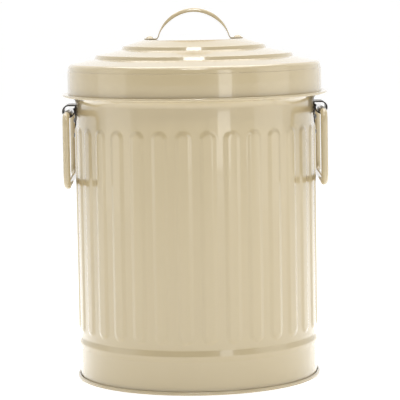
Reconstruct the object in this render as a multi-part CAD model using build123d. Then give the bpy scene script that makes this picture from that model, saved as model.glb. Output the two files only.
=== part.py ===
from build123d import *
import math
import os

# A small dustbin-shaped bread bin in painted sheet steel, in millimetres.
# The origin is the centre of the foot, on the surface the bin stands on. +Z is up.
# -Y is the front, and the two drop handles are on the +X and -X sides.

# ---- side wall ---------------------------------------------------------------
SHEET = 0.7                # body sheet
WALL_R = 112.6             # outer radius of the plain wall
LOWER_WALL_R = 113.2       # outer radius just under the swage bead
SWAGE_R = 114.4            # outer radius at the crest of the swage bead
SWAGE_BOTTOM = 30.0
SWAGE_TOP = 40.0
SWAGE_BEND = 4.0
SWAGE_END_BEND = 2.0
TAPER_BOTTOM = 6.2         # where the wall starts to widen towards the swage bead
TAPER_BEND = 3.0
FLANGE_R = 114.1           # edge of the wall's bottom flange, inside the foot seam
FLANGE_BEND = 0.45
COLLAR_SLOPE = 20.0        # degrees above the horizontal
COLLAR_BEND = 7.8          # bend radius from the wall into the collar, at mid sheet
LIP_R = 125.4              # outer radius of the rolled lip
LIP_Z = 267.8              # height of the lip's centre
CURL_R = 1.3               # outer radius of the lip's curl
CURL_TURN = 285            # degrees that the curl runs round its wire
SEAM_WIDTH = 6.0           # flattened lock seam down the back
RIBBED_BOTTOM = SWAGE_TOP + 3
RIBBED_TOP = 250.0

# ---- pressed ribs ------------------------------------------------------------
RIB_COUNT = 32
RIB_WIDTH = 14.0
RIB_HEIGHT = 1.3
RIB_BOTTOM = 47.0
RIB_TOP = 237.5

# ---- base --------------------------------------------------------------------
FOOT_R = 115.5             # outer radius of the folded foot seam
FOOT_HEIGHT = 3.1
FOOT_BEND = 0.9
FOLD_R = 113.4             # where the edge folded over the flange ends
FLOOR_Z = 6.7              # upper face of the bin's floor
FLOOR_BEND = 1.5
PAN_BEND = 0.6             # from the pan's side out under the flange

# ---- lid ---------------------------------------------------------------------
LID_SHEET = 0.6
SKIRT_R = 120.0            # outer radius of the lid's skirt
SKIRT_TOP = 291.0
SKIRT_BEND = 1.0           # from the skirt in over the collar
SPIGOT_R = 111.2           # outer radius of the part that drops into the mouth
SPIGOT_BOTTOM = 252.0
LID_GAP = 0.3              # lid to collar, when closed
LID_TOP_Z = 319.0
SHOULDER_Z = 296.9
SHOULDER_BEND = 4.5
FLANGE_DEPTH = 19.0        # how far the lid's top reaches down inside the skirt
STEPS = ((94.2, 301.9), (92.2, 305.4), (68.6, 310.0), (66.6, 313.5))
STEP_BEND = 1.2
CROWN_R = 47.5             # radius of the flat crown
CROWN_BEND = 8.0

# ---- lid handle --------------------------------------------------------------
STRAP = 1.2
STRAP_WIDTH = 19.0
ARCH_R = 34.9
HANDLE_TOP = 348.2
CROWN_DEPTH = 4.0          # depth of the strap's turned-down edges at the crown
HANDLE_REACH = 46.7        # half of the handle's overall length
LID_RIVET_X = 41.5

# ---- drop handles ------------------------------------------------------------
BAIL_WIRE = 6.5
BAIL_X = 118.8
PIVOT_Z = 251.5
BAIL_SPAN = 120.0          # between the centres of the two arms
BAIL_DROP = 65.25          # pivot to the centre of the grip
BAIL_TOP_BEND = 8.0
BAIL_GRIP_BEND = 11.0

# ---- brackets ----------------------------------------------------------------
BRACKET_SHEET = 1.1
BRACKET_WIDTH = 32.0
LOOP_R = 6.0               # outer radius of the rolled loop
LOOP_Z = 253.0
PLATE_BOTTOM = 224.0
TONGUE_WIDTH = 7.0
TONGUE_TOP = 240.0
NARROWING_Z = 246.5        # where the plate starts to narrow
WAIST_BEND = 3.0
TONGUE_END_R = 3.1
LOOP_MOUTH = (30.0, 76.0)  # degrees above the horizontal between which the loop is open

# ---- rivets ------------------------------------------------------------------
RIVET_R = 1.5
RIVET_HEAD_R = 2.9
RIVET_HEAD = 1.4
LID_RIVET_R = 2.0
LID_RIVET_HEAD_R = 3.7
LID_RIVET_HEAD = 1.9
TAIL_WIDTH = 0.85          # of the set tail, as a share of the head's
TAIL_HEIGHT = 0.7
TAIL_TAPER = 25
SHANK_BITE = 0.1           # how far the shank runs into head and tail
HOLE_PLAY = 0.05
RIVET_HEIGHTS = {"upper": 243.5, "lower": 229.5}

FIT = 0.05                 # between sheets that lie against each other
CLEAR = 1.0                # how far a cutting shape passes what it cuts
DRILL = 10.0               # length of the cylinders that cut rivet holes
PLATE_R = WALL_R + FIT + BRACKET_SHEET
SIDES = {"left": -1, "right": 1}


def beside(corners, bends, shift):
    """A filleted line that runs beside the given one, shifted to its left."""
    points = [Vector(*corner) for corner in corners]
    ways = [(b - a).normalized() for a, b in zip(points, points[1:])]
    lefts = [Vector(-way.Y, way.X) for way in ways]
    moved = [points[0] + lefts[0] * shift]
    radii = []
    for point, before, after, bend in zip(points[1:], lefts, lefts[1:], bends):
        moved.append(point + (before + after) * (shift / (1 + before.dot(after))))
        turn = 1 if before.cross(after).Z > 0 else -1
        radii.append(bend - turn * shift)
    moved.append(points[-1] + lefts[-1] * shift)
    return FilletPolyline(*moved, radius=radii)


def turned(corners, bends, sheet, curls=None):
    """A sheet of revolution whose middle follows the corners, given as (radius, height).

    curls is a pair of arcs, outer and inner, that carry the sheet's far end on round.
    """
    left = beside(corners, bends, sheet / 2)
    right = beside(corners, bends, -sheet / 2)
    edges = left.edges() + right.edges()
    edges.append(Edge.make_line(left @ 0, right @ 0))
    if curls:
        edges += curls
        left, right = curls
    edges.append(Edge.make_line(left @ 1, right @ 1))
    return revolve(Plane.XZ * make_face(edges), Axis.Z)


def disc(radius, low, high):
    return Pos(0, 0, low) * extrude(Circle(radius), high - low)


def ring_section(outer, inner, radius, height):
    return Pos(radius, height) * (Circle(outer) - Circle(inner))


def collar_line(radius, offset):
    """Height of the collar's sheet at a radius, moved by offset along its normal."""
    slope = math.radians(COLLAR_SLOPE)
    curl_mid = CURL_R - SHEET / 2
    lip_x = LIP_R - CURL_R - curl_mid * math.sin(slope)
    lip_z = LIP_Z + curl_mid * math.cos(slope)
    return lip_z + (radius - lip_x) * math.tan(slope) + offset / math.cos(slope)


def rib_capsule(radius, centre_r):
    """An upright round-ended bar, the form that the ribs are pressed over."""
    low = RIB_BOTTOM + RIB_WIDTH / 2
    high = RIB_TOP - RIB_WIDTH / 2
    bar = Pos(centre_r, 0, low) * extrude(Circle(radius), high - low)
    ends = [Pos(centre_r, 0, z) * Sphere(radius) for z in (low, high)]
    return bar + ends


def lower_wall():
    """The wall's foot: bottom flange, tapered band and swage bead."""
    mid = SHEET / 2
    wall = WALL_R - mid
    flange_z = SHEET + FIT + mid
    corners = [
        (FLANGE_R, flange_z),
        (wall, flange_z),
        (wall, TAPER_BOTTOM),
        (LOWER_WALL_R - mid, SWAGE_BOTTOM),
        (SWAGE_R - mid, (SWAGE_BOTTOM + SWAGE_TOP) / 2),
        (wall, SWAGE_TOP),
        (wall, RIBBED_BOTTOM),
    ]
    bends = [FLANGE_BEND, TAPER_BEND, SWAGE_BEND, SWAGE_BEND, SWAGE_END_BEND]
    return turned(corners, bends, SHEET)


def collar():
    """The wall's flared collar, ending in a lip that is rolled over and under a wire."""
    mid = SHEET / 2
    wall = WALL_R - mid
    lip_end = LIP_R - CURL_R - (CURL_R - mid) * math.sin(math.radians(COLLAR_SLOPE))
    corners = [
        (wall, RIBBED_TOP),
        (wall, collar_line(wall, 0)),
        (lip_end, collar_line(lip_end, 0)),
    ]
    centre = (LIP_R - CURL_R, LIP_Z)
    curls = [CenterArc(centre, radius, 90 + COLLAR_SLOPE, -CURL_TURN)
             for radius in (CURL_R, CURL_R - SHEET)]
    return turned(corners, [COLLAR_BEND], SHEET, curls)


def ribbed_band():
    """The plain cylinder between swage and collar, with the ribs pressed out of it."""
    inner = disc(WALL_R - SHEET, RIBBED_BOTTOM, RIBBED_TOP)
    band = disc(WALL_R, RIBBED_BOTTOM, RIBBED_TOP) - inner
    form_r = (RIB_WIDTH ** 2 / 4 + RIB_HEIGHT ** 2) / (2 * RIB_HEIGHT)
    form_x = WALL_R + RIB_HEIGHT - form_r
    hollow = rib_capsule(form_r - SHEET, form_x)
    rib = rib_capsule(form_r, form_x) - hollow - disc(WALL_R - SHEET, 0, LIP_Z)
    dent = hollow - disc(WALL_R - SHEET - CLEAR, 0, LIP_Z)
    turns = [Rot(0, 0, (i + 0.5) * 360 / RIB_COUNT) for i in range(RIB_COUNT)]
    return band - [turn * dent for turn in turns] + [turn * rib for turn in turns]


def back_seam():
    """The flattened lock seam, standing proud in the valley between the two rear ribs."""
    strip = disc(WALL_R + SHEET, RIBBED_BOTTOM, RIBBED_TOP) - disc(WALL_R - SHEET / 2, 0, LIP_Z)
    return strip & Pos(0, WALL_R, LIP_Z / 2) * Box(SEAM_WIDTH, WALL_R, LIP_Z)


def side_wall():
    """One rolled and pressed sheet, from the bottom flange to the rolled lip."""
    return lower_wall() + ribbed_band() + collar() + back_seam()


def rim_wire():
    """The steel wire that the lip is rolled round."""
    return Pos(0, 0, LIP_Z) * Torus(LIP_R - CURL_R, CURL_R - SHEET - FIT / 2)


def base_pan():
    """The pressed floor, with its edge folded over the wall's flange as the foot."""
    mid = SHEET / 2
    inner = WALL_R - SHEET - FIT - mid
    corners = [
        (0, FLOOR_Z - mid),
        (inner, FLOOR_Z - mid),
        (inner, mid),
        (FOOT_R - mid, mid),
        (FOOT_R - mid, FOOT_HEIGHT - mid),
        (FOLD_R, FOOT_HEIGHT - mid),
    ]
    return turned(corners, [FLOOR_BEND, PAN_BEND, FOOT_BEND, FOOT_BEND], SHEET)


def lid_top():
    """The stepped pressing that closes the lid, with its flange inside the skirt."""
    mid = LID_SHEET / 2
    flange = SKIRT_R - LID_SHEET - mid - FIT
    corners = [(flange, SHOULDER_Z - FLANGE_DEPTH), (flange, SHOULDER_Z - mid)]
    corners += [(radius, height - mid) for radius, height in STEPS]
    corners += [(CROWN_R, LID_TOP_Z - mid), (0, LID_TOP_Z - mid)]
    bends = [SHOULDER_BEND] + [STEP_BEND] * len(STEPS) + [CROWN_BEND]
    top = turned(corners, bends, LID_SHEET)
    holes = [Pos(x, 0, LID_TOP_Z) * Cylinder(LID_RIVET_R + HOLE_PLAY, DRILL)
             for x in (-LID_RIVET_X, LID_RIVET_X)]
    return top - holes


def lid_skirt():
    """The lid's deep band, joggled in over the collar and down into the mouth."""
    mid = LID_SHEET / 2
    band = SKIRT_R - mid
    spigot = SPIGOT_R - mid
    offset = SHEET / 2 + LID_GAP + mid
    corners = [
        (band, SKIRT_TOP),
        (band, collar_line(band, offset)),
        (spigot, collar_line(spigot, offset)),
        (spigot, SPIGOT_BOTTOM),
    ]
    return turned(corners, [SKIRT_BEND, COLLAR_BEND + offset], LID_SHEET)


def lid_handle():
    """The riveted strap handle, its edges turned down into a channel at the crown."""
    centre = HANDLE_TOP - ARCH_R
    foot_top = LID_TOP_Z + STRAP
    above = Pos(0, LID_TOP_Z + ARCH_R) * Rectangle(4 * ARCH_R, 2 * ARCH_R)
    arch = (Pos(0, centre) * (Circle(ARCH_R) - Circle(ARCH_R - STRAP))) & above
    foot_start = math.sqrt(ARCH_R ** 2 - (foot_top - centre) ** 2) - STRAP
    foot_length = HANDLE_REACH - foot_start
    feet = [Pos(side * (foot_start + foot_length / 2), LID_TOP_Z + STRAP / 2)
            * Rectangle(foot_length, STRAP) for side in (-1, 1)]
    strap = extrude(Plane.XZ * (arch + feet), STRAP_WIDTH / 2, both=True)
    plan = Pos(0, 0, LID_TOP_Z - CLEAR) * extrude(SlotOverall(2 * HANDLE_REACH, STRAP_WIDTH), ARCH_R * 2)
    strap &= plan

    low, high = ARCH_R - CROWN_DEPTH, (ARCH_R - STRAP) ** 2 / (ARCH_R - CROWN_DEPTH)
    hollow_r, drop = (high + low) / 2, (high - low) / 2
    crescent = (Pos(0, centre) * Circle(ARCH_R)) - (Pos(0, centre - drop) * Circle(hollow_r))
    crescent &= Pos(0, foot_top + ARCH_R) * Rectangle(4 * ARCH_R, 2 * ARCH_R)
    flange = extrude(Plane.XZ * crescent, STRAP / 2, both=True)
    edge = (STRAP_WIDTH - STRAP) / 2
    handle = strap + Pos(0, edge, 0) * flange + Pos(0, -edge, 0) * flange
    holes = [Pos(x, 0, LID_TOP_Z) * Cylinder(LID_RIVET_R + HOLE_PLAY, DRILL)
             for x in (-LID_RIVET_X, LID_RIVET_X)]
    return handle - holes


def rivet(shank_r, head_r, head, grip):
    """A round-head rivet along +Z: head above z = 0, set tail below z = -grip."""
    sphere_r = (head_r ** 2 + head ** 2) / (2 * head)
    dome = Pos(0, 0, head - sphere_r) * Sphere(sphere_r)
    dome &= disc(head_r, 0, head)
    shank = disc(shank_r, -grip - SHANK_BITE, SHANK_BITE)
    tail = extrude(Circle(TAIL_WIDTH * head_r), -TAIL_HEIGHT * head, taper=TAIL_TAPER)
    tail = Pos(0, 0, -grip) * tail
    return dome + shank + tail


def lid_rivet(side):
    head_z = LID_TOP_Z + STRAP
    made = rivet(LID_RIVET_R, LID_RIVET_HEAD_R, LID_RIVET_HEAD, STRAP + LID_SHEET)
    return Pos(side * LID_RIVET_X, 0, head_z) * made


def on_side(shape, side):
    """Puts a right-hand shape on the given side, mirrored for the left."""
    return shape if side > 0 else mirror(shape, Plane.YZ)


def bracket_rivet(side, height):
    """A rivet through the bracket's plate and the wall."""
    made = rivet(RIVET_R, RIVET_HEAD_R, RIVET_HEAD, BRACKET_SHEET + 2 * FIT + SHEET)
    return on_side(Pos(PLATE_R, 0, height) * Rot(0, 90, 0) * made, side)


def rivet_holes(side):
    """The drillings for one bracket's rivets."""
    drill = Rot(0, 90, 0) * Cylinder(RIVET_R + HOLE_PLAY, DRILL)
    return [Pos(side * WALL_R, 0, height) * drill for height in RIVET_HEIGHTS.values()]


def bracket_plate():
    """A spade-shaped plate bent to the wall, with its tongue in the valley between two ribs."""
    half = BRACKET_WIDTH / 2
    tongue = TONGUE_WIDTH / 2
    top = LOOP_Z + LOOP_R
    outline = make_face(Polyline((-half, top), (-half, NARROWING_Z), (-tongue, TONGUE_TOP),
                                 (-tongue, PLATE_BOTTOM), (tongue, PLATE_BOTTOM),
                                 (tongue, TONGUE_TOP), (half, NARROWING_Z), (half, top), close=True))
    waist = [v for v in outline.vertices() if TONGUE_TOP - CLEAR < v.Y < top - CLEAR]
    outline = fillet(waist, WAIST_BEND)
    outline = fillet([v for v in outline.vertices() if v.Y < PLATE_BOTTOM + CLEAR], TONGUE_END_R)
    sheet = disc(PLATE_R, PLATE_BOTTOM, top) - disc(WALL_R + FIT, PLATE_BOTTOM, top)
    return sheet & extrude(Plane.YZ * outline, PLATE_R + CLEAR)


def bracket(side):
    """One pressing: the plate, and its top tab rolled into a loop round the handle's bar."""
    inner = WALL_R + FIT
    loop_in = LOOP_R - BRACKET_SHEET
    reach = BAIL_X - inner
    tab_z = LOOP_Z + LOOP_R - BRACKET_SHEET / 2
    tab = Pos(inner + reach / 2, tab_z) * Rectangle(reach, BRACKET_SHEET)
    ends = [(-loop_in / math.tan(math.radians(angle)), loop_in) for angle in LOOP_MOUTH]
    mouth = make_face(Polyline((0, 0), *ends, close=True))
    section = ring_section(LOOP_R, loop_in, BAIL_X, LOOP_Z) - Pos(BAIL_X, LOOP_Z) * mouth + tab
    rolled = extrude(Plane.XZ * section, BRACKET_WIDTH / 2, both=True)
    rolled -= disc(inner, LOOP_Z - LOOP_R, LOOP_Z + 2 * LOOP_R)
    return on_side(bracket_plate() + rolled, side) - rivet_holes(side)


def bail(side):
    """A closed handle of round wire, hanging straight down from its pivot bar."""
    half = BAIL_SPAN / 2
    low = PIVOT_Z - BAIL_DROP
    x = side * BAIL_X
    corners = [(x, -half, PIVOT_Z), (x, -half, low), (x, half, low), (x, half, PIVOT_Z)]
    bends = [BAIL_TOP_BEND, BAIL_GRIP_BEND, BAIL_GRIP_BEND, BAIL_TOP_BEND]
    path = FilletPolyline(*corners, radius=bends, close=True)
    start = Plane(origin=path @ 0, z_dir=path % 0)
    return sweep(start * Circle(BAIL_WIRE / 2), path=path)


def make_parts():
    holes = rivet_holes(-1) + rivet_holes(1)
    parts = {
        "side_wall": side_wall() - holes,
        "rim_wire": rim_wire(),
        "base_pan": base_pan(),
        "lid_top": lid_top(),
        "lid_skirt": lid_skirt(),
        "lid_handle": lid_handle(),
    }
    for name, side in SIDES.items():
        parts[f"{name}_bail"] = bail(side)
        parts[f"{name}_bracket"] = bracket(side)
        parts[f"lid_handle_{name}_rivet"] = lid_rivet(side)
        for place, height in RIVET_HEIGHTS.items():
            parts[f"{name}_bracket_{place}_rivet"] = bracket_rivet(side, height)
    return parts


os.makedirs("parts", exist_ok=True)
for node, shape in make_parts().items():
    export_step(shape, f"parts/{node}.step")
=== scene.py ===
import math

import bmesh
import bpy
import numpy as np
from mathutils import Matrix, Vector


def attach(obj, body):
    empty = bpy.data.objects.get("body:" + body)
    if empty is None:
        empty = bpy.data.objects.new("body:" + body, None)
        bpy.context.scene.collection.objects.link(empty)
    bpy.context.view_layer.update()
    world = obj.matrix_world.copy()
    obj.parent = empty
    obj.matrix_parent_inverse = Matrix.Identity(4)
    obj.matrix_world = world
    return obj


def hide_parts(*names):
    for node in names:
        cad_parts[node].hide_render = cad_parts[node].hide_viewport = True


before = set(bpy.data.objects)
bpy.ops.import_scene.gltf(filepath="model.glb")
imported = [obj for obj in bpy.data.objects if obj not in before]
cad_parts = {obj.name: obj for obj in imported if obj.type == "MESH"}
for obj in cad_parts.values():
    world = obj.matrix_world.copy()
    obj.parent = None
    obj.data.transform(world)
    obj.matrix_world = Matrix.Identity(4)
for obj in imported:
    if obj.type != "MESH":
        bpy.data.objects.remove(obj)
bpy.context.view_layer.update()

# The looks of a small dustbin-shaped bread bin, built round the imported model.
# Lengths are in millimetres, as in the model's source, until a mesh is made in metres.
# Z is up, -Y is the front, and the drop handles are on the +X and -X sides.

MM = 0.001

# ---- side wall ---------------------------------------------------------------
SHEET = 0.7
WALL_R = 112.6
LOWER_WALL_R = 113.2
SWAGE_R = 114.4
SWAGE_BOTTOM = 30.0
SWAGE_TOP = 40.0
SWAGE_BEND = 4.0
TAPER_BOTTOM = 6.2
TAPER_BEND = 3.0
FLANGE_R = 114.1
FLANGE_BEND = 0.45
COLLAR_SLOPE = 20.0
COLLAR_BEND = 7.8
LIP_R = 125.4
LIP_Z = 267.8
CURL_R = 1.3
CURL_TURN = 285
CURL_STEPS = 36
SEAM_WIDTH = 6.0
SEAM_PROUD = 0.7
SEAM_ROOT_BEND = 0.1
SEAM_CREST_BEND = 0.5
SEAM_BOTTOM = 43.5
SEAM_TOP = 249.5

# ---- pressed ribs: full height near the spine, fading smoothly to the wall ----
RIB_COUNT = 32
RIB_HEIGHT = 1.3
RIB_BOTTOM = 47.0
RIB_TOP = 237.5
RIB_FLAT = 3.4
RIB_FOOT = 8.2
RIB_FLANK = (RIB_FLAT + RIB_FOOT) / 2
RIB_COLUMNS = 24
END_ROW = 0.8
LONG_ROW = 14.0

# ---- base --------------------------------------------------------------------
FOOT_R = 115.5
FOOT_HEIGHT = 3.1
FOOT_BEND = 0.9
FOLD_R = 113.4
FLOOR_Z = 6.7
FLOOR_BEND = 1.5
PAN_BEND = 0.6
FIT = 0.05

# ---- lid ---------------------------------------------------------------------
LID_SHEET = 0.6
SKIRT_R = 120.0
SKIRT_TOP = 291.0
SKIRT_BEND = 1.0
SPIGOT_R = 111.2
SPIGOT_BOTTOM = 252.0
LID_GAP = 0.3
EDGE_EASE = 0.5            # rounding of the band's top edge
LID_TOP_Z = 319.0
SHOULDER_Z = 296.9
SHOULDER_BEND = 4.5
FLANGE_DEPTH = 19.0
STEPS = ((94.2, 301.9), (92.2, 305.4), (68.6, 310.0), (66.6, 313.5))
STEP_BEND = 1.2
CROWN_R = 47.5
CROWN_BEND = 8.0

# ---- lid handle --------------------------------------------------------------
STRAP = 1.2
STRAP_WIDTH = 19.0
ARCH_R = 34.9
HANDLE_TOP = 348.2
CROWN_DEPTH = 4.0
HANDLE_REACH = 46.7
ANKLE_BEND = 3.0
STRAP_COLUMNS = 25
TURNED_EDGE = 0.28         # share of the half width that turns down at each edge
EDGE_THINNING = 0.25

# ---- drop handles ------------------------------------------------------------
BAIL_WIRE = 6.5
BAIL_X = 118.8
PIVOT_Z = 251.5
BAIL_SPAN = 120.0
BAIL_DROP = 65.25
BAIL_TOP_BEND = 8.0
BAIL_GRIP_BEND = 11.0

ROUND = 256                # columns of a plain turned piece
ARC_STEP = math.radians(7)
SHARP = math.radians(38)
SIDES = {"left": -1, "right": 1}


# ---- outlines ----------------------------------------------------------------
def corner_arc(corner, way_in, way_out, radius):
    """Points of the arc that rounds a corner."""
    turn = math.atan2(way_in.cross(way_out), way_in.dot(way_out))
    reach = radius * math.tan(abs(turn) / 2)
    start = corner - way_in * reach
    inward = Vector((-way_in.y, way_in.x)) * math.copysign(radius, turn)
    centre = start + inward
    steps = max(3, math.ceil(abs(turn) / ARC_STEP))
    return [centre + Matrix.Rotation(turn * i / steps, 2) @ (start - centre) for i in range(steps + 1)]


def beside(corners, bends, shift):
    """Points of a filleted line that runs beside the given one, shifted to its left."""
    points = [Vector(corner) for corner in corners]
    ways = [(b - a).normalized() for a, b in zip(points, points[1:])]
    lefts = [Vector((-way.y, way.x)) for way in ways]
    line = [points[0] + lefts[0] * shift]
    for i, bend in enumerate(bends):
        before, after = lefts[i], lefts[i + 1]
        corner = points[i + 1] + (before + after) * (shift / (1 + before.dot(after)))
        turn = 1 if ways[i].cross(ways[i + 1]) > 0 else -1
        line += corner_arc(corner, ways[i], ways[i + 1], bend - turn * shift)
    line.append(points[-1] + lefts[-1] * shift)
    return line


def loop_round(corners, bends):
    """Points of a closed loop with its corners rounded."""
    points = [Vector(corner) for corner in corners]
    line = []
    for i, bend in enumerate(bends):
        before = (points[i] - points[i - 1]).normalized()
        after = (points[(i + 1) % len(points)] - points[i]).normalized()
        line += corner_arc(points[i], before, after, bend)
    return line


def with_rows(line, heights):
    """Adds a point at each height on the one long upright run of the line."""
    for i, (a, b) in enumerate(zip(line, line[1:])):
        if b.y - a.y > (RIB_TOP - RIB_BOTTOM):
            return line[:i + 1] + [Vector((a.x, z)) for z in heights] + line[i + 1:]
    raise ValueError("the line has no upright run long enough for the ribs")


def curl(radius):
    """The arc that carries the lip's sheet over and round its wire."""
    centre = Vector((LIP_R - CURL_R, LIP_Z))
    angles = [math.radians(90 + COLLAR_SLOPE - CURL_TURN * i / CURL_STEPS)
              for i in range(1, CURL_STEPS + 1)]
    return [centre + Vector((math.cos(a), math.sin(a))) * radius for a in angles]


def collar_line(radius, offset):
    """Height of the collar's sheet at a radius, moved by offset along its normal."""
    slope = math.radians(COLLAR_SLOPE)
    curl_mid = CURL_R - SHEET / 2
    lip_x = LIP_R - CURL_R - curl_mid * math.sin(slope)
    lip_z = LIP_Z + curl_mid * math.cos(slope)
    return lip_z + (radius - lip_x) * math.tan(slope) + offset / math.cos(slope)


# ---- meshes ------------------------------------------------------------------
def mesh_object(name, points, faces):
    """A smooth-shaded object in metres from points in millimetres, with its normals outward."""
    mesh = bpy.data.meshes.new(name)
    mesh.from_pydata((np.asarray(points) * MM).tolist(), [], faces)
    work = bmesh.new()
    work.from_mesh(mesh)
    bmesh.ops.remove_doubles(work, verts=work.verts, dist=1e-7)
    bmesh.ops.recalc_face_normals(work, faces=work.faces)
    work.to_mesh(mesh)
    work.free()
    mesh.polygons.foreach_set("use_smooth", [True] * len(mesh.polygons))
    mesh.set_sharp_from_angle(angle=SHARP)
    made = bpy.data.objects.new(name, mesh)
    bpy.context.scene.collection.objects.link(made)
    return made


def grid_faces(rows, columns, close_rows, close_columns):
    """Quads over a grid of points stored row by row."""
    row_range = range(rows if close_rows else rows - 1)
    column_range = range(columns if close_columns else columns - 1)
    return [
        (r * columns + c, r * columns + (c + 1) % columns,
         (r + 1) % rows * columns + (c + 1) % columns, (r + 1) % rows * columns + c)
        for r in row_range for c in column_range
    ]


def turned(name, left, right, columns=ROUND, swell=None):
    """A sheet turned about Z between its two faces; swell(angle, height) moves it outward."""
    section = np.array([tuple(p) for p in left + right[::-1]])
    on_axis = section[0, 0] == 0 or section[-1, 0] == 0 or section[len(left) - 1, 0] == 0
    angles = np.arange(columns) * 2 * math.pi / columns
    radii = np.repeat(section[:, :1], columns, axis=1)
    heights = np.repeat(section[:, 1:], columns, axis=1)
    if swell:
        radii = radii + swell(angles[None, :], heights)
    points = np.stack([radii * np.cos(angles), radii * np.sin(angles), heights], axis=-1)
    # a section that starts or ends on the axis is left open there
    roll = len(left) if on_axis and section[len(left) - 1, 0] == 0 else 0
    points = np.roll(points, -roll, axis=0)
    faces = grid_faces(len(section), columns, not on_axis, True)
    return mesh_object(name, points.reshape(-1, 3), faces)


def tube(name, line, place, radius, ring=28):
    """A round wire along a closed flat loop; place puts a loop point, moved in X, in space."""
    count = len(line)
    rings = []
    for i in range(count):
        way = (line[(i + 1) % count] - line[i - 1]).normalized()
        out = Vector((-way.y, way.x))
        for k in range(ring):
            angle = 2 * math.pi * k / ring
            flat = line[i] + out * (radius * math.cos(angle))
            rings.append(place(flat, radius * math.sin(angle)))
    return mesh_object(name, rings, grid_faces(count, ring, True, True))


# ---- the bin -----------------------------------------------------------------
def rib_swell(angles, heights):
    """How far the ribs stand out of the wall, at angles and heights."""
    pitch = 2 * math.pi / RIB_COUNT
    across = (np.mod(angles, pitch) - pitch / 2) * WALL_R
    low, high = RIB_BOTTOM + RIB_FLANK, RIB_TOP - RIB_FLANK
    along = heights - np.clip(heights, low, high)
    fall = np.clip((np.hypot(across, along) - RIB_FLAT) / (RIB_FOOT - RIB_FLAT), 0, 1)
    return RIB_HEIGHT * (1 - fall * fall * (3 - 2 * fall))


def rib_rows():
    """Heights of the wall's rows: close together at the ribs' ends, far apart between."""
    span = RIB_FOOT + 2
    fade = RIB_FOOT - RIB_FLANK + END_ROW
    low_end = np.arange(RIB_BOTTOM - fade, RIB_BOTTOM + span, END_ROW)
    high_end = np.arange(RIB_TOP - span, RIB_TOP + fade, END_ROW)
    between = np.arange(RIB_BOTTOM + span + LONG_ROW, RIB_TOP - span - LONG_ROW / 2, LONG_ROW)
    return [float(z) for z in np.concatenate([low_end, between, high_end])]


def wall_sheet():
    """The ribbed wall, from the flange under the foot seam to the lip rolled over its wire."""
    mid = SHEET / 2
    wall = WALL_R - mid
    flange_z = SHEET + FIT + mid
    lip_end = LIP_R - CURL_R - (CURL_R - mid) * math.sin(math.radians(COLLAR_SLOPE))
    corners = [
        (FLANGE_R, flange_z),
        (wall, flange_z),
        (wall, TAPER_BOTTOM),
        (LOWER_WALL_R - mid, SWAGE_BOTTOM),
        (SWAGE_R - mid, (SWAGE_BOTTOM + SWAGE_TOP) / 2),
        (wall, SWAGE_TOP),
        (wall, collar_line(wall, 0)),
        (lip_end, collar_line(lip_end, 0)),
    ]
    bends = [FLANGE_BEND, TAPER_BEND, SWAGE_BEND, SWAGE_BEND, SWAGE_BEND, COLLAR_BEND]
    rows = rib_rows()
    faces = [
        with_rows(beside(corners, bends, shift), rows) + curl(radius)
        for shift, radius in ((mid, CURL_R), (-mid, CURL_R - SHEET))
    ]
    return turned("wall_sheet", *faces, columns=RIB_COUNT * RIB_COLUMNS, swell=rib_swell)


def back_seam():
    """The flattened lock seam down the back, as a strip with rolled edges."""
    half = SEAM_WIDTH / 2
    root = WALL_R - SHEET / 2
    crest = WALL_R + SEAM_PROUD
    corners = [(-half, root), (half, root), (half, crest), (-half, crest)]
    bends = [SEAM_ROOT_BEND, SEAM_ROOT_BEND, SEAM_CREST_BEND, SEAM_CREST_BEND]
    outline = loop_round(corners, bends)
    points = []
    for height in (SEAM_BOTTOM, SEAM_TOP):
        for across, radius in outline:
            angle = math.pi / 2 - across / WALL_R
            points.append((radius * math.cos(angle), radius * math.sin(angle), height))
    count = len(outline)
    faces = grid_faces(2, count, False, True)
    faces += [tuple(range(count)), tuple(range(count, 2 * count))]
    return mesh_object("back_seam", points, faces)


def foot_pan():
    """The pressed floor, folded round the wall's flange as the foot."""
    mid = SHEET / 2
    inner = WALL_R - SHEET - FIT - mid
    corners = [
        (0, FLOOR_Z - mid),
        (inner, FLOOR_Z - mid),
        (inner, mid),
        (FOOT_R - mid, mid),
        (FOOT_R - mid, FOOT_HEIGHT - mid),
        (FOLD_R, FOOT_HEIGHT - mid),
    ]
    bends = [FLOOR_BEND, PAN_BEND, FOOT_BEND, FOOT_BEND]
    return turned("foot_pan", beside(corners, bends, mid), beside(corners, bends, -mid))


# ---- the lid -----------------------------------------------------------------
def lid_pressing():
    """The stepped top, with its flange inside the skirt band."""
    mid = LID_SHEET / 2
    flange = SKIRT_R - LID_SHEET - mid - FIT
    corners = [(flange, SHOULDER_Z - FLANGE_DEPTH), (flange, SHOULDER_Z - mid)]
    corners += [(radius, height - mid) for radius, height in STEPS]
    corners += [(CROWN_R, LID_TOP_Z - mid), (0, LID_TOP_Z - mid)]
    bends = [SHOULDER_BEND] + [STEP_BEND] * len(STEPS) + [CROWN_BEND]
    return turned("lid_pressing", beside(corners, bends, mid), beside(corners, bends, -mid))


def lid_band():
    """The skirt, joggled in over the collar and down into the mouth."""
    mid = LID_SHEET / 2
    band = SKIRT_R - mid
    spigot = SPIGOT_R - mid
    offset = SHEET / 2 + LID_GAP + mid
    corners = [
        (band, SKIRT_TOP),
        (band, collar_line(band, offset)),
        (spigot, collar_line(spigot, offset)),
        (spigot, SPIGOT_BOTTOM),
    ]
    bends = [SKIRT_BEND, COLLAR_BEND + offset]
    outer, inner = beside(corners, bends, mid), beside(corners, bends, -mid)
    angles = np.linspace(0, math.pi / 2, 7)
    eased = [Vector((SKIRT_R - EDGE_EASE * (1 - math.sin(a)), SKIRT_TOP - EDGE_EASE * (1 - math.cos(a))))
             for a in angles]
    return turned("lid_band", eased + outer[1:], inner)


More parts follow.
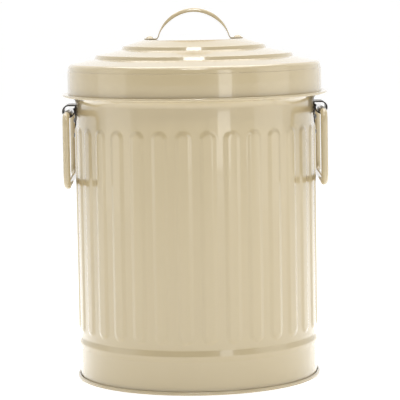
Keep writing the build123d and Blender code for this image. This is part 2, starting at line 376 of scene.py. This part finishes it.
def strap_line():
    """The lid handle's middle line as (x, height, way x, way z), from foot to foot."""
    arch = ARCH_R - STRAP / 2
    centre_z = HANDLE_TOP - ARCH_R
    foot_z = LID_TOP_Z + STRAP / 2
    ankle_z = foot_z + ANKLE_BEND - centre_z
    ankle_x = math.sqrt((arch + ANKLE_BEND) ** 2 - ankle_z ** 2)
    rise = math.atan2(ankle_z, ankle_x)
    half = [(x, foot_z, -1.0, 0.0) for x in np.linspace(HANDLE_REACH, ankle_x, 26)[:-1]]
    for angle in np.linspace(-math.pi / 2, rise - math.pi, 12)[:-1]:
        half.append((ankle_x + ANKLE_BEND * math.cos(angle),
                     foot_z + ANKLE_BEND + ANKLE_BEND * math.sin(angle),
                     math.sin(angle), -math.cos(angle)))
    for angle in np.linspace(rise, math.pi / 2, 48):
        half.append((arch * math.cos(angle), centre_z + arch * math.sin(angle),
                     -math.sin(angle), math.cos(angle)))
    mirrored = [(-x, z, wx, -wz) for x, z, wx, wz in half[-2::-1]]
    return half + mirrored


def lid_strap():
    """The strap handle: flat rounded feet, and edges turned down into a channel at the crown."""
    thick = STRAP / 2
    foot_top = LID_TOP_Z + STRAP
    points = []
    line = strap_line()
    for x, z, way_x, way_z in line:
        end = max(0.0, abs(x) - (HANDLE_REACH - STRAP_WIDTH / 2))
        half = math.sqrt(max(0.01, (STRAP_WIDTH / 2) ** 2 - end ** 2))
        climb = min(1.0, max(0.0, (z - foot_top) / (HANDLE_TOP - STRAP - foot_top)))
        depth = (CROWN_DEPTH - STRAP) * climb * climb * (3 - 2 * climb)
        normal = (way_z, -way_x)
        ring = []
        for face in (1, -1):
            spread = np.linspace(-1, 1, STRAP_COLUMNS) * face
            for share in spread:
                edge = max(0.0, abs(share) - (1 - TURNED_EDGE)) / TURNED_EDGE
                fall = depth * (1 - math.sqrt(max(0.0, 1 - edge * edge)))
                round_off = EDGE_THINNING * edge ** 4
                lift = face * (thick - round_off) - fall
                ring.append((x + normal[0] * lift, share * half, z + normal[1] * lift))
        points += ring
    ring_count = 2 * STRAP_COLUMNS
    faces = grid_faces(len(line), ring_count, False, True)
    faces += [tuple(range(ring_count)), tuple(range((len(line) - 1) * ring_count, len(line) * ring_count))]
    return mesh_object("lid_strap", points, faces)


# ---- the drop handles --------------------------------------------------------
def drop_handle(name, side):
    """A closed loop of round wire, hanging from its pivot bar."""
    half = BAIL_SPAN / 2
    low = PIVOT_Z - BAIL_DROP
    corners = [(-half, PIVOT_Z), (-half, low), (half, low), (half, PIVOT_Z)]
    bends = [BAIL_TOP_BEND, BAIL_GRIP_BEND, BAIL_GRIP_BEND, BAIL_TOP_BEND]

    def place(flat, out):
        return (side * BAIL_X + out, flat.x, flat.y)

    return tube(f"{name}_drop_handle", loop_round(corners, bends), place, BAIL_WIRE / 2)


# ---- materials ---------------------------------------------------------------
class Nodes:
    """A material's node tree, with short calls for the nodes that the finishes share."""

    def __init__(self, name):
        self.material = bpy.data.materials.new(name)
        self.material.use_nodes = True
        self.tree = self.material.node_tree
        self.shader = self.tree.nodes["Principled BSDF"]
        self.where = self.tree.nodes.new("ShaderNodeTexCoord").outputs["Object"]

    def link(self, source, target):
        self.tree.links.new(source, target)

    def noise(self, scale, detail=3.0):
        node = self.tree.nodes.new("ShaderNodeTexNoise")
        node.inputs["Scale"].default_value = scale
        node.inputs["Detail"].default_value = detail
        self.link(self.where, node.inputs["Vector"])
        return node.outputs["Fac"]

    def span(self, value, low, high, to_low, to_high):
        """Maps a value from one range to another, held at its ends."""
        node = self.tree.nodes.new("ShaderNodeMapRange")
        for socket, number in zip(("From Min", "From Max", "To Min", "To Max"), (low, high, to_low, to_high)):
            node.inputs[socket].default_value = number
        self.link(value, node.inputs["Value"])
        return node.outputs["Result"]

    def mix(self, factor, first, second):
        """A colour between two others, each a colour or an output."""
        node = self.tree.nodes.new("ShaderNodeMix")
        node.data_type = "RGBA"
        self.link(factor, node.inputs["Factor"])
        for socket, colour in ((node.inputs[6], first), (node.inputs[7], second)):
            if isinstance(colour, tuple):
                socket.default_value = colour + (1.0,)
            else:
                self.link(colour, socket)
        return node.outputs[2]

    def bump(self, height, depth):
        """Raises the surface by up to depth, in metres."""
        node = self.tree.nodes.new("ShaderNodeBump")
        node.inputs["Strength"].default_value = 1.0
        node.inputs["Distance"].default_value = depth
        self.link(height, node.inputs["Height"])
        return node.outputs["Normal"]

    def height_above_floor(self):
        node = self.tree.nodes.new("ShaderNodeSeparateXYZ")
        self.link(self.where, node.inputs["Vector"])
        return node.outputs["Z"]


CREAM = (0.49, 0.402, 0.242)
CREAM_DEEP = (0.495, 0.405, 0.245)
SCUFF = (0.48, 0.40, 0.26)


def enamel(name):
    """Glossy cream powder coat: a slow change of shade, faint orange peel, a dusty foot."""
    n = Nodes(name)
    shade = n.mix(n.span(n.height_above_floor(), 0.2, 0.32, 0, 1), CREAM, CREAM_DEEP)
    near_floor = n.span(n.height_above_floor(), 0.001, 0.009, 0.45, 0)
    n.link(n.mix(near_floor, shade, SCUFF), n.shader.inputs["Base Color"])
    n.shader.inputs["Roughness"].default_value = 0.27
    n.shader.inputs["Coat Weight"].default_value = 1.0
    n.shader.inputs["Coat Roughness"].default_value = 0.035
    n.link(n.bump(n.noise(500, 1.0), 0.000001), n.shader.inputs["Normal"])
    return n.material


def lacquered_metal(name):
    """Gloss black-brown japanned steel, rubbed to a lighter brown in places."""
    n = Nodes(name)
    rubbed = n.span(n.noise(320, 4.0), 0.6, 0.72, 0, 0.5)
    n.link(n.mix(rubbed, (0.018, 0.012, 0.008), (0.10, 0.06, 0.035)), n.shader.inputs["Base Color"])
    n.link(n.span(n.noise(180), 0.3, 0.7, 0.18, 0.38), n.shader.inputs["Roughness"])
    n.shader.inputs["Coat Weight"].default_value = 0.3
    n.shader.inputs["Coat Roughness"].default_value = 0.12
    n.link(n.bump(n.noise(500), 0.00001), n.shader.inputs["Normal"])
    return n.material


def bare_wire(name):
    """Drawn steel wire, a little dull."""
    n = Nodes(name)
    n.link(n.mix(n.noise(260), (0.46, 0.45, 0.43), (0.60, 0.59, 0.57)), n.shader.inputs["Base Color"])
    n.link(n.span(n.noise(400), 0.3, 0.7, 0.28, 0.45), n.shader.inputs["Roughness"])
    n.shader.inputs["Metallic"].default_value = 1.0
    return n.material


# ---- putting the pieces on their bodies ---------------------------------------
def finish_piece(piece, body, nodes, material):
    """The piece rides on a body, stands for CAD nodes and takes its finish."""
    piece.data.materials.append(material)
    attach(piece, body)
    if nodes:
        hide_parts(*nodes)


def finish_node(name, material):
    """A CAD node that stays, with a better material and smooth faces."""
    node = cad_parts[name]
    node.data.materials.clear()
    node.data.materials.append(material)
    node.data.polygons.foreach_set("use_smooth", [True] * len(node.data.polygons))
    return node


def soften_edges(node, radius):
    """Welds a CAD node's split corners and rounds its sharp edges a little."""
    weld = node.modifiers.new("weld", "WELD")
    weld.merge_threshold = 1e-5
    bevel = node.modifiers.new("bevel", "BEVEL")
    bevel.width = radius * MM
    bevel.segments = 3
    bevel.limit_method = "ANGLE"
    bevel.angle_limit = math.radians(40)
    bevel.use_clamp_overlap = True
    bevel.harden_normals = False


def build_object():
    wall = enamel("wall_enamel")
    base = enamel("base_enamel")
    lid = enamel("lid_enamel")
    handle = enamel("handle_enamel")
    rivets = enamel("rivet_enamel")
    lacquer = lacquered_metal("bracket_metal")

    finish_piece(wall_sheet(), "bin", ["side_wall"], wall)
    finish_piece(back_seam(), "bin", [], wall)
    finish_piece(foot_pan(), "bin", ["base_pan"], base)
    finish_piece(lid_pressing(), "lid", ["lid_top"], lid)
    finish_piece(lid_band(), "lid", ["lid_skirt"], lid)
    finish_piece(lid_strap(), "lid", ["lid_handle"], handle)
    finish_node("rim_wire", bare_wire("wire_steel"))
    for name, side in SIDES.items():
        finish_piece(drop_handle(name, side), f"{name}_handle", [f"{name}_bail"], handle)
        soften_edges(finish_node(f"{name}_bracket", lacquer), 0.2)
        finish_node(f"lid_handle_{name}_rivet", rivets)
        for place in ("upper", "lower"):
            finish_node(f"{name}_bracket_{place}_rivet", lacquer)


# ---- stage, camera, light ----------------------------------------------------
def floor():
    """A plain pale floor, far wider than any view of the object."""
    half = 40000
    made = mesh_object("floor", [(-half, -half, 0), (half, -half, 0), (half, half, 0), (-half, half, 0)],
                       [(0, 1, 2, 3)])
    n = Nodes("floor_paper")
    n.link(n.mix(n.noise(3), (0.90, 0.90, 0.89), (0.93, 0.93, 0.92)), n.shader.inputs["Base Color"])
    n.shader.inputs["Roughness"].default_value = 0.7
    n.shader.inputs["Emission Color"].default_value = (1, 1, 1, 1)
    n.shader.inputs["Emission Strength"].default_value = 0.42
    made.data.materials.append(n.material)


CAMERA_DISTANCE = 2.01
CAMERA_HEIGHT = 0.375
CAMERA_PITCH = math.radians(4.65)
CAMERA_YAW = math.radians(-0.12)
CAMERA_ROLL = math.radians(-0.95)
LENS = 191.3
SHIFT_Y = -0.12


def camera():
    data = bpy.data.cameras.new("camera")
    data.lens = LENS
    data.sensor_width = 36
    data.shift_y = SHIFT_Y
    data.clip_end = 200
    made = bpy.data.objects.new("camera", data)
    bpy.context.scene.collection.objects.link(made)
    turn = Matrix.Rotation(CAMERA_YAW, 4, "Z") @ Matrix.Rotation(math.pi / 2 - CAMERA_PITCH, 4, "X")
    place = Matrix.Translation((0, -CAMERA_DISTANCE, CAMERA_HEIGHT))
    made.matrix_world = place @ turn @ Matrix.Rotation(CAMERA_ROLL, 4, "Z")
    bpy.context.scene.camera = made


def softbox(name, place, size, watts, aim=(0, 0, 0.17)):
    """A flat rectangular studio light that faces the object."""
    data = bpy.data.lights.new(name, "AREA")
    data.shape = "RECTANGLE"
    data.size, data.size_y = size
    data.energy = watts
    made = bpy.data.objects.new(name, data)
    bpy.context.scene.collection.objects.link(made)
    made.location = place
    made.rotation_euler = (Vector(aim) - Vector(place)).to_track_quat("-Z", "Y").to_euler()


def studio():
    """An overhead light, a small key, side softboxes and a front strip, in a room darker at the front."""
    bpy.context.scene.view_settings.view_transform = "Standard"
    softbox("overhead", (0, 0.35, 1.6), (1.6, 1.2), 19)
    softbox("key", (0, -0.95, 1.6), (0.5, 0.35), 8, aim=(0, 0, 0.3))
    softbox("left_box", (-1.5, -0.35, 0.5), (0.9, 1.4), 2.7)
    softbox("right_box", (1.5, -0.45, 0.5), (1.0, 1.4), 3.3)
    softbox("front_strip", (0.95, -1.9, 0.6), (0.45, 1.2), 4.4)
    world = bpy.data.worlds.new("room")
    bpy.context.scene.world = world
    world.use_nodes = True
    tree = world.node_tree
    back = tree.nodes["Background"]
    where = tree.nodes.new("ShaderNodeTexCoord")
    split = tree.nodes.new("ShaderNodeSeparateXYZ")
    ramp = tree.nodes.new("ShaderNodeValToRGB")
    spread = tree.nodes.new("ShaderNodeMapRange")
    tree.links.new(where.outputs["Generated"], split.inputs["Vector"])
    tree.links.new(split.outputs["Y"], spread.inputs["Value"])
    spread.inputs["From Min"].default_value = -1.0
    tree.links.new(spread.outputs["Result"], ramp.inputs["Fac"])
    tree.links.new(ramp.outputs["Color"], back.inputs["Color"])
    ramp.color_ramp.elements[0].color = (0.12, 0.12, 0.12, 1)
    ramp.color_ramp.elements[1].color = (1.45, 1.45, 1.45, 1)
    back.inputs["Strength"].default_value = 0.75


build_object()
floor()
camera()
studio()
